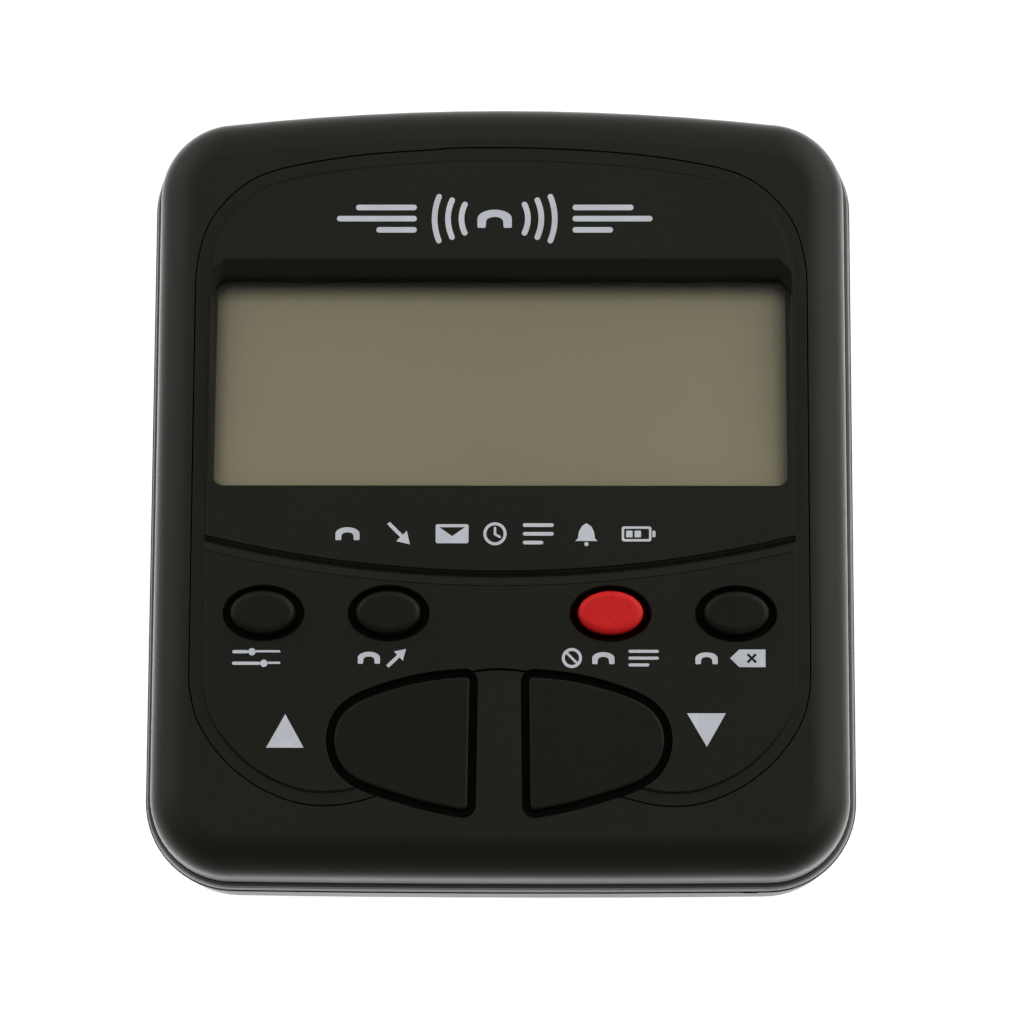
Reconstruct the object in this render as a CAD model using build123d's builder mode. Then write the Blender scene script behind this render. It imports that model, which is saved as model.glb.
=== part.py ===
from build123d import *
import math
import os

os.makedirs("parts", exist_ok=True)

# Telephone caller display and call blocker, one STEP file per piece, in millimetres.
# The box lies on its back: +X to the user's right, +Y towards the display end, where the
# telephone sockets are, +Z out of the face. The origin is the middle of the footprint,
# at the underside of the rubber feet. "Top" and "bottom" edges are those at +Y and -Y.

sides = (-1, 1)            # left, right

# --- Outside of the case ---
wall_hw = 44.05            # half width of the front shell just above its ledge
wall_top = 49.72           # top edge of that wall on the centre line
wall_bot = -49.45          # bottom edge of that wall on the centre line
top_bow_r = 320.0          # the top edge bows outwards on this radius
bot_bow_r = 2600.0         # the bottom edge is almost straight
corner_top_r = 10.0
corner_bot_r = 10.4
wall_draft = 5.0           # degrees the wall leans in towards the face
ledge_w = 0.65             # how far the lip stands out from the front wall
lip_flare = 0.2            # the lip widens by this much down to the parting line
back_grow = 0.98           # outline of the back shell beyond the front wall
back_round = 2.4           # rounding of the back edge
face_round = 5.0           # rounding from the face into the side wall
shell_t = 2.2              # side wall thickness
plate_t = 2.4              # thickness of the front plate
back_t = 2.0               # thickness of the back wall

z_back = 1.0               # outside of the back shell
z_part = 13.0              # parting line between the two shells
part_gap = 0.14            # shadow gap at the parting line
z_ledge = 16.0             # top of the lip's shoulder
z_face = 25.0              # front face of the frame
z_under = z_face - plate_t # underside of the front plate
z_cut = z_under - 0.5      # where cuts through the front plate start

# --- Face panel, a separate insert in the front shell ---
panel_gap = 0.18           # visible gap round the insert
panel_seat = 1.4           # depth of the seat it lies in
seat_w = 0.8               # width of the supporting ledge
panel_hw = 38.7
band_w = 1.60              # flat band before the raised field
z_keys = z_face + 0.40     # raised key field
z_upper = z_face + 0.72    # raised display field
# x, y of the right half of the outline's top curve, from the centre line to the side
panel_top = [
    (0, 43.41), (7.6, 43.22), (15.25, 42.70), (20.3, 42.12), (25.4, 41.25),
    (28.55, 40.50), (31.35, 39.38), (33.6, 37.80), (35.6, 35.72), (36.98, 33.64),
    (37.95, 31.05), (38.5, 28.30), (38.7, 25.40),
]
# x, y of the right half of the bottom curve, from the side to inside the large key well
panel_low = [
    (38.7, -23.0), (38.56, -25.9), (38.1, -28.2), (37.2, -30.5), (35.82, -32.7),
    (34.05, -34.8), (31.85, -36.75), (29.7, -38.15), (27.2, -39.32), (24.4, -40.15),
    (21.6, -40.38), (18.9, -40.15), (16.0, -39.45), (12.5, -38.0),
]
tongue_top = -23.4         # top of the frame's tongue between the two large keys
tongue_hw = 5.2            # half width of the arc that ends it
tongue_r = 16.8
tongue_foot = (7.5, -30.0) # x, y where its flank bends outwards

# --- Display window ---
win_w, win_l, win_r = 72.1, 26.55, 1.5      # width, length and corner radius in its own plane
win_tilt = 4.43            # degrees the window leans down towards the display end
win_y, win_z = 12.965, 24.42                # centre of the window's outer surface
win_t = 1.0
gasket_t = 0.3
lcd_w, lcd_l, lcd_t = 74.6, 30.2, 2.0
win_plane = Plane(
    origin=(0, win_y, win_z), x_dir=(1, 0, 0),
    z_dir=(0, math.sin(math.radians(win_tilt)), math.cos(math.radians(win_tilt))),
)

# --- Keys ---
oval_names = ("set", "out", "block", "remove")
oval_x = (-29.4, -13.8, 13.8, 29.4)
oval_y = -16.35
oval_xy = [(x, oval_y) for x in oval_x]
oval_well = (5.00, 3.43)   # half axes of the well
oval_key = (4.04, 2.68)    # half axes of the key
well_lip = 0.14            # broken edge of the oval wells
z_oval = 27.0              # top of the oval keys
z_large = 25.55            # top of the two large keys
large_x, large_y = 11.3, -32.6              # centre of the right large key
well_grow = 0.12           # the large wells stand this far outside the curve below
well_corner_r = 1.5
key_gap = 1.04             # gap between a large key and its well's curve, before well_grow
flange_t = 0.9             # thickness of the keys' retaining flanges
flange_top = z_under - 0.1
flange_low = flange_top - flange_t
rib_w = 1.2                # ribs left across the keys' hollow undersides
# x, y of the right large key well: lower edge, nose and upper edge
well_curve = [
    (2.98, -41.95), (5.6, -41.46), (9.72, -40.60), (12.47, -39.80), (15.22, -38.95),
    (17.9, -37.85), (19.75, -36.42), (20.9, -34.5), (21.34, -32.4), (21.05, -30.2),
    (20.0, -28.28), (18.4, -26.92), (15.2, -25.50), (11.2, -24.32), (8.46, -23.80),
    (5.6, -23.50), (2.75, -23.30),
]

# --- Board, bosses and telephone sockets ---
z_board, board_t = 17.6, 1.6        # underside and thickness of the circuit board
mat_t = 1.0
z_mat = z_board + board_t           # underside of the silicone mat
post_xy = [(side * 40.1, y) for side in sides for y in (-33.0, 24.0)]
boss_xy = [(-36.8, 39.0), (36.8, 39.0), (-36.8, -41.2), (36.8, -41.2)]
boss_r = 3.0
boss_clear = 0.5                    # clearance round the bosses
screw_r = 1.25                      # case screws
jack_x = 15.0
jack_w, jack_l, jack_h = 13.2, 15.0, 12.0
jack_face = 47.6                    # +Y end of the sockets
jack_slot_w = jack_w + 0.4          # openings for the sockets in both shells
jack_slot_l = 6.0
jack_slot_xy = [(-jack_x, 48.5), (jack_x, 48.5)]
notch_x, notch_w = 31.6, 1.9        # pry notch in the bottom edge

# --- Back, battery bay and door ---
door_hw = 26.0
door_top = -8.6                     # upper edge of the door's opening
door_t = 1.5
door_gap = 0.14
bay_x, bay_y0, bay_y1 = 25.6, -46.9, -10.3     # half width and ends of the bay, inside
bay_z = 14.1                        # inside of its ceiling
bay_wall = 1.2
cell_r, cell_l = 5.2, 43.3
cell_z = 8.7
cells = [(-39.9, 1), (-28.6, -1), (-17.3, 1)]  # y, side on which the terminal nub is
foot_xy = [(-35.5, 31.5), (35.5, 31.5), (-35.5, -33.5), (35.5, -33.5)]
foot_r = 4.6
foot_seat = 0.6                     # depth of the pockets for the feet


def level(z):
    """Horizontal plane at height z."""
    return Plane.XY.offset(z)


def export_piece(builder, name):
    builder.part.label = name
    export_step(builder.part, f"parts/{name}.step")


def mirrored(points):
    """Points mirrored in the centre line, in reverse order."""
    return [(-x, y) for x, y in reversed(points)]


def shift_right(points, distance):
    """Points moved by distance to the right of their direction of travel."""
    moved = []
    for i, (x, y) in enumerate(points):
        before_x, before_y = points[max(i - 1, 0)]
        after_x, after_y = points[min(i + 1, len(points) - 1)]
        run_x, run_y = after_x - before_x, after_y - before_y
        run = math.hypot(run_x, run_y)
        moved.append((x + distance * run_y / run, y - distance * run_x / run))
    return moved


def case_outline(grow=0.0):
    """Outline of the front wall, grown by grow; the top edge bows outwards."""
    y_top = wall_top - wall_hw**2 / (2 * top_bow_r)
    y_bot = wall_bot + wall_hw**2 / (2 * bot_bow_r)
    with BuildSketch() as outline:
        with BuildLine():
            ThreePointArc((-wall_hw, y_top), (0, wall_top), (wall_hw, y_top))
            Line((wall_hw, y_top), (wall_hw, y_bot))
            ThreePointArc((wall_hw, y_bot), (0, wall_bot), (-wall_hw, y_bot))
            Line((-wall_hw, y_bot), (-wall_hw, y_top))
        make_face()
        fillet(outline.vertices().group_by(Axis.Y)[-1], corner_top_r)
        fillet(outline.vertices().filter_by(lambda v: v.Y < -40), corner_bot_r)
        if grow:
            offset(amount=grow)
    return outline.sketch


def panel_outline(inset=0.0, tongue_inset=None):
    """Outline of the face panel, drawn in by inset; its notch follows the tongue."""
    rise = inset if tongue_inset is None else tongue_inset
    side_x = panel_hw - inset
    top = [
        (0, panel_top[0][1] - inset),
        *shift_right(panel_top, inset)[1:-1],
        (side_x, panel_top[-1][1]),
    ]
    low = [(side_x, panel_low[0][1]), *shift_right(panel_low, inset)[1:]]
    tongue_end = (tongue_hw, tongue_top - tongue_hw**2 / (2 * tongue_r) + rise)
    flank = [low[-1], tongue_foot, tongue_end]
    with BuildSketch() as outline:
        with BuildLine():
            Spline(*top, tangents=((1, 0), (0, -1)))
            Line(top[-1], low[0])
            Spline(*low, tangents=((0, -1), (-1, 0.55)))
            Polyline(*flank)
            ThreePointArc(tongue_end, (0, tongue_top + rise), (-tongue_end[0], tongue_end[1]))
            Polyline(*mirrored(flank))
            Spline(*mirrored(low), tangents=((-1, -0.55), (0, 1)))
            Line(mirrored(low)[-1], mirrored(top)[0])
            Spline(*mirrored(top), tangents=((0, 1), (1, 0)))
        make_face()
    return outline.sketch


def large_outline(side, inset=0.0):
    """Half-oval outline of a large key or its well, drawn in by inset."""
    (low_x, low_y), (high_x, high_y) = well_curve[0], well_curve[-1]
    # points too close to the straight inner edge are dropped
    middle = [p for p in shift_right(well_curve, -inset)[1:-1] if p[0] > low_x + inset + 1.2]
    # the end points slide along the straight edge by a factor of the inset
    low_end = (low_x + inset, low_y + 1.22 * inset)
    high_end = (high_x + inset, high_y - 1.06 * inset)
    points = [(side * x, y) for x, y in (low_end, *middle, high_end)]
    with BuildSketch() as outline:
        with BuildLine():
            Spline(*points)
            Line(points[-1], points[0])
        make_face()
        fillet(outline.vertices(), max(well_corner_r - inset, 0.35))
    return outline.sketch


# --- Front shell ---
wall_z = z_ledge - 0.2              # foot of the drafted wall
wall_lean = (z_face - wall_z) * math.tan(math.radians(wall_draft))
# the lip from the parting line up: height, distance beyond the front wall
lip_steps = [
    (z_part + part_gap / 2, ledge_w + lip_flare), (z_ledge - 1.15, ledge_w),
    (z_ledge - 0.50, 0.42), (z_ledge, 0.08),
]
cavity_z = z_part - 1               # start of cuts from below
shelf_z, shelf_w = 20.2, 1.0        # above this height the wall is thicker by shelf_w
front_boss_z = z_part + 0.6         # lower end of the screw bosses
root = 0.2                          # posts and bosses run this far into the plate
plate_cut = 5                       # height of cuts through the plate

with BuildPart() as front_shell:
    with BuildSketch(level(wall_z)):
        add(case_outline())
    with BuildSketch(level(z_face)):
        add(case_outline(-wall_lean))
    loft(ruled=True)
    fillet(front_shell.edges().group_by(Axis.Z)[-1], face_round)
    # lip: a shoulder that slopes away from the wall, then a side that flares downwards
    for (low_z, low_w), (high_z, high_w) in zip(lip_steps, lip_steps[1:]):
        with BuildSketch(level(low_z)):
            add(case_outline(low_w))
        with BuildSketch(level(high_z)):
            add(case_outline(high_w))
        loft(ruled=True)
    # inside of the shell
    with BuildSketch(level(cavity_z)):
        add(case_outline(-shell_t))
    extrude(amount=shelf_z + 0.1 - cavity_z, mode=Mode.SUBTRACT)
    with BuildSketch(level(shelf_z)):
        add(case_outline(-shell_t - shelf_w))
    extrude(amount=z_under - shelf_z, mode=Mode.SUBTRACT)
    # seat for the rim of the back shell
    with BuildSketch(level(cavity_z)):
        add(case_outline(-shell_t + 1.05))
    extrude(amount=2.35, mode=Mode.SUBTRACT)
    # posts for the circuit board and bosses for the case screws
    with BuildSketch(level(z_mat)):
        with Locations(*post_xy):
            Circle(1.9)
    extrude(amount=z_under - z_mat + root)
    with BuildSketch(level(front_boss_z)):
        with Locations(*boss_xy):
            Circle(boss_r)
    extrude(amount=z_under - front_boss_z + root)
    # seat and opening for the face panel
    with BuildSketch(level(z_face - panel_seat)):
        add(panel_outline())
    extrude(amount=plate_cut, mode=Mode.SUBTRACT)
    with BuildSketch(level(z_cut)):
        add(panel_outline(seat_w))
    extrude(amount=plate_cut, mode=Mode.SUBTRACT)
    # wells of the large keys
    for side in sides:
        with BuildSketch(level(z_cut)):
            add(large_outline(side, -well_grow))
        extrude(amount=plate_cut, mode=Mode.SUBTRACT)
    # pilot holes in posts and bosses
    with BuildSketch(level(z_mat - 0.1)):
        with Locations(*post_xy):
            Circle(0.88)
    extrude(amount=3.4, mode=Mode.SUBTRACT)
    with BuildSketch(level(z_part)):
        with Locations(*boss_xy):
            Circle(screw_r + 0.03)
    extrude(amount=7.5, mode=Mode.SUBTRACT)
    # upper part of the telephone socket openings
    with BuildSketch(level(cavity_z)):
        with Locations(*jack_slot_xy):
            Rectangle(jack_slot_w, jack_slot_l)
    extrude(amount=3.6, mode=Mode.SUBTRACT)
    # clearance inside for the top of the sockets
    with BuildSketch(level(cavity_z)):
        with Locations((-jack_x, 44.6), (jack_x, 44.6)):
            Rectangle(jack_slot_w, 6.2)
    extrude(amount=5.7, mode=Mode.SUBTRACT)
    # pry notch in the lip
    with BuildSketch(level(cavity_z)):
        with Locations((notch_x, -50.6)):
            Rectangle(notch_w, 1.1)
    extrude(amount=1.9, mode=Mode.SUBTRACT)
export_piece(front_shell, "front_shell")

# --- Face panel ---
# the step between display field and key field is an arc with a cove along it
step_r = 153.5
step_c = 142.12            # y of the arc's centre, on the centre line
cove_w = 1.5
cove_half = 13.9           # degrees the cove runs to each side
cove_a = math.radians(cove_half)
# distance beyond the arc, height: a sharp step down, then a ramp up to a fine line
cove_profile = [
    (-0.36, z_upper + 1), (-0.34, z_keys - 0.44), (-0.10, z_keys - 0.52),
    (0.14, z_keys - 0.42), (0.45, z_keys - 0.22), (0.80, z_keys - 0.09),
    (cove_w - 0.02, z_keys - 0.015), (cove_w + 0.02, z_keys - 0.10),
    (cove_w + 0.10, z_keys), (cove_w + 0.10, z_upper + 1),
]
# x, y outlines of the cut for the brow, above the panel and at its low end
brow_high = [(-34.6, 30.4), (34.6, 30.4), (37.6, 27.6), (37.6, 24.0), (-37.6, 24.0), (-37.6, 27.6)]
brow_low = [(-35.5, 26.62), (35.5, 26.62), (36.1, 26.0), (36.1, 24.0), (-36.1, 24.0), (-36.1, 26.0)]
lip_over = 0.1             # the cuts for the broken edges run this far past the surface
field_cut = 6              # height of cuts through the panel

with BuildPart() as face_panel:
    with BuildSketch(level(z_face - panel_seat)):
        add(panel_outline(panel_gap))
    extrude(amount=panel_seat)
    with BuildSketch(level(z_under)):
        add(panel_outline(seat_w + panel_gap))
    extrude(amount=plate_t - panel_seat + 0.1)
    # raised field with a sloping edge
    with BuildSketch(level(z_face - 0.2)):
        add(panel_outline(band_w - 0.1, panel_gap))
    with BuildSketch(level(z_upper)):
        add(panel_outline(band_w + 0.52, panel_gap))
    loft(ruled=True)
    # the key field lies lower: everything below the arc
    with BuildSketch(level(z_keys)):
        with Locations((0, -42.0)):
            Rectangle(90, 110)
        with Locations((0, step_c)):
            Circle(step_r + cove_w, mode=Mode.SUBTRACT)
    extrude(amount=2, mode=Mode.SUBTRACT)
    # cove along the arc, its profile turned about the arc's centre
    with BuildSketch(Plane(origin=(0, step_c, 0), x_dir=(-math.sin(cove_a), -math.cos(cove_a), 0),
                           z_dir=(-math.cos(cove_a), math.sin(cove_a), 0))):
        with BuildLine():
            Polyline(*[(step_r + beyond, z) for beyond, z in cove_profile], close=True)
        make_face()
    revolve(axis=Axis((0, step_c, 0), (0, 0, 1)), revolution_arc=2 * cove_half,
            mode=Mode.SUBTRACT)
    # display recess: drafted walls that rise from the tilted window
    with BuildSketch(win_plane):
        RectangleRounded(win_w, win_l, win_r)
    extrude(amount=3.5, taper=-14, mode=Mode.SUBTRACT)
    with BuildSketch(win_plane):
        RectangleRounded(win_w, win_l, win_r)
    extrude(amount=-win_t - 0.6, mode=Mode.SUBTRACT)
    # pocket for gasket and display glass
    with BuildSketch(win_plane.offset(-win_t)):
        Rectangle(lcd_w + 0.6, lcd_l + 0.6)
    extrude(amount=-6, mode=Mode.SUBTRACT)
    # sloping brow on the +Y side of the display, with a facet at each end
    with BuildSketch(level(z_upper + 1.0)):
        Polygon(*brow_high, align=None)
    with BuildSketch(level(z_upper - 1.30)):
        Polygon(*brow_low, align=None)
    loft(ruled=True, mode=Mode.SUBTRACT)
    # wells of the oval keys
    with BuildSketch(level(z_cut)):
        with Locations(*oval_xy):
            Ellipse(*oval_well)
    extrude(amount=field_cut, mode=Mode.SUBTRACT)
    # broken edges of the oval wells
    for centre in oval_xy:
        with BuildSketch(level(z_keys - well_lip)):
            with Locations(centre):
                Ellipse(*oval_well)
        with BuildSketch(level(z_keys + lip_over)):
            with Locations(centre):
                Ellipse(*[half_axis + well_lip + lip_over for half_axis in oval_well])
        loft(ruled=True, mode=Mode.SUBTRACT)
    # wells of the large keys
    for side in sides:
        with BuildSketch(level(z_cut)):
            add(large_outline(side, -well_grow))
        extrude(amount=field_cut, mode=Mode.SUBTRACT)
export_piece(face_panel, "face_panel")

# --- Display ---
win_gap = 0.1                       # the window is this much smaller than its opening
glass_w, glass_l = lcd_w - 0.2, lcd_l - 0.2
holder_y = win_y + 1.4
stack_h = 5.0                       # holder and strip, before they are trimmed to the glass

with BuildPart() as display_window:
    with BuildSketch(win_plane):
        RectangleRounded(win_w - win_gap, win_l - win_gap, win_r)
    extrude(amount=-win_t + 0.02)
export_piece(display_window, "display_window")

with BuildPart() as display_gasket:
    with BuildSketch(win_plane.offset(-win_t)):
        Rectangle(lcd_w, lcd_l)
        RectangleRounded(win_w - win_gap, win_l - 0.14, 0.8, mode=Mode.SUBTRACT)
    extrude(amount=-gasket_t)
export_piece(display_gasket, "display_gasket")

# two sheets of glass, one on the other
with BuildPart() as lcd_glass:
    for sheet in range(2):
        with BuildSketch(win_plane.offset(-win_t - gasket_t - sheet * lcd_t / 2)):
            Rectangle(glass_w, glass_l)
        extrude(amount=-lcd_t / 2)
export_piece(lcd_glass, "lcd_glass")

# just under the tilted glass
lcd_back = win_plane.offset(-win_t - gasket_t - lcd_t - 0.02)

# frame with a bar down its middle
with BuildPart() as lcd_holder:
    with BuildSketch(level(z_mat)):
        with Locations((0, holder_y)):
            Rectangle(70.0, 26.0)
            Rectangle(64.0, 21.0, mode=Mode.SUBTRACT)
            Rectangle(1.6, 22.0)
    extrude(amount=stack_h)
    split(bisect_by=lcd_back, keep=Keep.BOTTOM)
export_piece(lcd_holder, "lcd_holder")

with BuildPart() as contact_strip:
    with BuildSketch(level(z_mat)):
        with Locations((0, win_y - 13.4)):
            Rectangle(66.0, 1.8)
    extrude(amount=stack_h)
    split(bisect_by=lcd_back, keep=Keep.BOTTOM)
export_piece(contact_strip, "contact_strip")

# --- Keys ---
merge = 0.01                        # key bodies start this far inside their flanges
hollow_z = flange_low - 0.1         # start of the cuts for the hollow undersides
oval_wall = 1.0
large_wall = 1.2
large_flange = 0.5                  # flange beyond the large wells

for name, centre in zip(oval_names, oval_xy):
    with BuildPart() as key:
        with BuildSketch(level(flange_low)):
            with Locations(centre):
                Ellipse(oval_key[0] + 1.5, oval_key[1] + 1.3)
        extrude(amount=flange_t)
        with BuildSketch(level(flange_top - merge)):
            with Locations(centre):
                Ellipse(*oval_key)
        extrude(amount=z_oval - flange_top + merge)
        fillet(key.edges().group_by(Axis.Z)[-1], 0.75)
        # hollow underside that sits over the dome, with one rib
        with BuildSketch(level(hollow_z)):
            with Locations(centre):
                Ellipse(oval_key[0] - oval_wall, oval_key[1] - oval_wall)
                Rectangle(rib_w, 3 * oval_key[1], mode=Mode.SUBTRACT)
        extrude(amount=3.4, mode=Mode.SUBTRACT)
    export_piece(key, name + "_key")

for name, side in (("up", -1), ("down", 1)):
    with BuildPart() as key:
        with BuildSketch(level(flange_low)):
            add(large_outline(side, -well_grow - large_flange))
        extrude(amount=flange_t)
        with BuildSketch(level(flange_top - merge)):
            add(large_outline(side, key_gap - well_grow))
        extrude(amount=z_large - flange_top + merge)
        fillet(key.edges().group_by(Axis.Z)[-1], 0.28)
        # hollow underside with crossed ribs
        with BuildSketch(level(hollow_z)):
            add(large_outline(side, key_gap + large_wall))
            with Locations((side * large_x, large_y)):
                Rectangle(rib_w, 20, mode=Mode.SUBTRACT)
                Rectangle(20, rib_w, mode=Mode.SUBTRACT)
        extrude(amount=2.2, mode=Mode.SUBTRACT)
    export_piece(key, name + "_key")

# --- Silicone mat and its domes ---
with BuildPart() as keypad_mat:
    with BuildSketch(level(z_mat)):
        with Locations((0, -28.2)):
            RectangleRounded(75.0, 30.0, 3.0)
        with Locations(*boss_xy):
            Circle(boss_r + boss_clear, mode=Mode.SUBTRACT)
    extrude(amount=mat_t)
export_piece(keypad_mat, "keypad_mat")

dome_z = z_mat + mat_t
dome_h = flange_low - 0.04 - dome_z
shoulder_z = dome_z + dome_h * 0.75
# name, centre, scale of the radii
domes = [(name, centre, 1.0) for name, centre in zip(oval_names, oval_xy)]
domes += [("up", (-large_x, large_y), 1.35), ("down", (large_x, large_y), 1.35)]
for name, centre, scale_r in domes:
    with BuildPart() as dome:
        with BuildSketch(level(dome_z)):
            with Locations(centre):
                Circle(3.1 * scale_r)
        with BuildSketch(level(shoulder_z)):
            with Locations(centre):
                Circle(2.2 * scale_r)
        loft()
        with BuildSketch(level(shoulder_z)):
            with Locations(centre):
                Circle(1.9 * scale_r)
        extrude(amount=dome_h * 0.25)
    export_piece(dome, name + "_dome")

# --- Circuit board and screws ---
with BuildPart() as main_board:
    with BuildSketch(level(z_board)):
        add(case_outline(-shell_t - 0.6))
        with Locations(*boss_xy):
            Circle(boss_r + boss_clear, mode=Mode.SUBTRACT)
        with Locations(*post_xy):
            Circle(1.1, mode=Mode.SUBTRACT)
    extrude(amount=board_t)
export_piece(main_board, "main_board")


def export_screws(name, places, head_z, head_r, head_h, shank_z, shank_r, shank_l,
                  cross_l, cross_w, cross_h):
    """One screw at each place, head down, with a cross recess in the head."""
    with BuildPart() as screws:
        with BuildSketch(level(head_z)):
            with Locations(*places):
                Circle(head_r)
        extrude(amount=head_h)
        with BuildSketch(level(shank_z)):
            with Locations(*places):
                Circle(shank_r)
        extrude(amount=shank_l)
        with BuildSketch(level(head_z - 0.1)):
            with Locations(*places):
                Rectangle(cross_l, cross_w)
                Rectangle(cross_w, cross_l)
        extrude(amount=cross_h, mode=Mode.SUBTRACT)
    export_piece(screws, name)


export_screws("board_screws", post_xy, head_z=z_board - 1.3, head_r=1.7, head_h=1.29,
              shank_z=z_board - 0.1, shank_r=0.85, shank_l=4.6,
              cross_l=2.2, cross_w=0.4, cross_h=0.7)
export_screws("case_screws", boss_xy, head_z=6.2, head_r=2.3, head_h=1.75,
              shank_z=7.9, shank_r=screw_r, shank_l=11.0,
              cross_l=3.0, cross_w=0.5, cross_h=1.0)

# --- Telephone sockets, hanging from the board ---
solder_gap = 0.02                   # parts stop this far below the board
# width, height, depth of centre below the board: plug cavity, then the latch slot below it
plug_steps = [(9.9, 7.0, 5.2), (6.2, 2.2, 9.6), (3.4, 1.0, 10.9)]
contact_pitch, contact_w = 1.02, 0.4
# y, z outline of one sloping contact
contact_profile = [
    (jack_face - 2.5, z_board - 1.78), (jack_face - 10.4, z_board - 3.25),
    (jack_face - 10.2, z_board - 3.55), (jack_face - 2.3, z_board - 2.15),
]

for name, side in (("line_jack", -1), ("phone_jack", 1)):
    with BuildPart() as jack:
        with BuildSketch(level(z_board - jack_h)):
            with Locations((side * jack_x, jack_face - jack_l / 2)):
                Rectangle(jack_w, jack_l)
        extrude(amount=jack_h - solder_gap)
        with BuildSketch(Plane.XZ.offset(-jack_face - 1)):
            for width, height, depth in plug_steps:
                with Locations((side * jack_x, z_board - depth)):
                    Rectangle(width, height)
        extrude(amount=12.5, mode=Mode.SUBTRACT)
    export_piece(jack, name)

with BuildPart() as jack_contacts:
    for side in sides:
        for k in range(4):
            x = side * jack_x + (k - 1.5) * contact_pitch
            with BuildSketch(Plane.YZ.offset(x - contact_w / 2)):
                with BuildLine():
                    Polyline(*contact_profile, close=True)
                make_face()
            extrude(amount=contact_w)
export_piece(jack_contacts, "jack_contacts")

# --- Components under the board ---
chip_x, chip_y, chip_w, chip_h = -22.0, 10.0, 14.0, 1.6
lead_row = 8.0                      # rows of leads from the chip's centre
lead_l, lead_w = 1.9, 0.4
transformer_xy = (19.5, 4.0)
capacitor_xy = [(-2.0, 8.0), (8.0, 8.0)]
diode_ys = (16.5, 20.0, 23.5, 27.0)

with BuildPart() as controller_chip:
    with BuildSketch(level(z_board - chip_h - solder_gap)):
        with Locations((chip_x, chip_y)):
            RectangleRounded(chip_w, chip_w, 0.6)
    extrude(amount=chip_h)
    chamfer(controller_chip.edges().group_by(Axis.Z)[0], 0.3)
export_piece(controller_chip, "controller_chip")

with BuildPart() as chip_leads:
    with BuildSketch(level(z_board - 0.9)):
        for k in range(11):
            along = (k - 5) * 1.0
            with Locations(*[(chip_x + side * lead_row, chip_y + along) for side in sides]):
                Rectangle(lead_l, lead_w)
            with Locations(*[(chip_x + along, chip_y + side * lead_row) for side in sides]):
                Rectangle(lead_w, lead_l)
    extrude(amount=0.9 - solder_gap)
export_piece(chip_leads, "chip_leads")

with BuildPart() as crystal:
    with BuildSketch(level(z_board - 3.5)):
        with Locations((chip_x, 23.5)):
            SlotOverall(10.8, 4.4)
    extrude(amount=3.5 - solder_gap)
    fillet(crystal.edges().group_by(Axis.Z)[0], 0.5)
export_piece(crystal, "crystal")

with BuildPart() as hook_relay:
    with BuildSketch(level(z_board - 9.0)):
        with Locations((4.0, 22.0)):
            Rectangle(20.0, 10.0)
    extrude(amount=9.0 - solder_gap)
    fillet(hook_relay.edges().group_by(Axis.Z)[0], 0.6)
export_piece(hook_relay, "hook_relay")

# two crossed blocks
with BuildPart() as line_transformer:
    with BuildSketch(level(z_board - 10.0)):
        with Locations(transformer_xy):
            Rectangle(14.0, 9.0)
    extrude(amount=10.0 - solder_gap)
    with BuildSketch(level(z_board - 9.0)):
        with Locations(transformer_xy):
            Rectangle(10.0, 13.0)
    extrude(amount=7.5)
export_piece(line_transformer, "line_transformer")

with BuildPart() as filter_capacitors:
    with BuildSketch(level(z_board - 10.5)):
        with Locations(*capacitor_xy):
            Circle(4.0)
    extrude(amount=10.5 - solder_gap)
    fillet(filter_capacitors.edges().group_by(Axis.Z)[0], 0.5)
export_piece(filter_capacitors, "filter_capacitors")

with BuildPart() as bridge_diodes:
    with BuildSketch(Plane.YZ.offset(18.0)):
        with Locations(*[(y, z_board - 1.5) for y in diode_ys]):
            Circle(1.3)
    extrude(amount=5.2)
export_piece(bridge_diodes, "bridge_diodes")

# --- Back shell ---
floor_z = z_back + back_t           # inside of the back wall
inner_z = floor_z - 0.1             # walls and towers start inside the back wall
below = z_back - 0.1                # cuts from the back start at one of these two heights
far_below = z_back - 1
bay_y = (bay_y0 + bay_y1) / 2
bay_l = bay_y1 - bay_y0
slot_z = z_board - jack_h - 0.2     # lower edge of the socket openings
far_y = 60                          # beyond the bottom edge, as a distance in -Y
keyhole_x, keyhole_y = 28.0, 12.0
keyhole_r, keyhole_slot_r = 4.0, 2.1
keyhole_rise = 4.2                  # from the round hole to the middle of its slot

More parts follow.
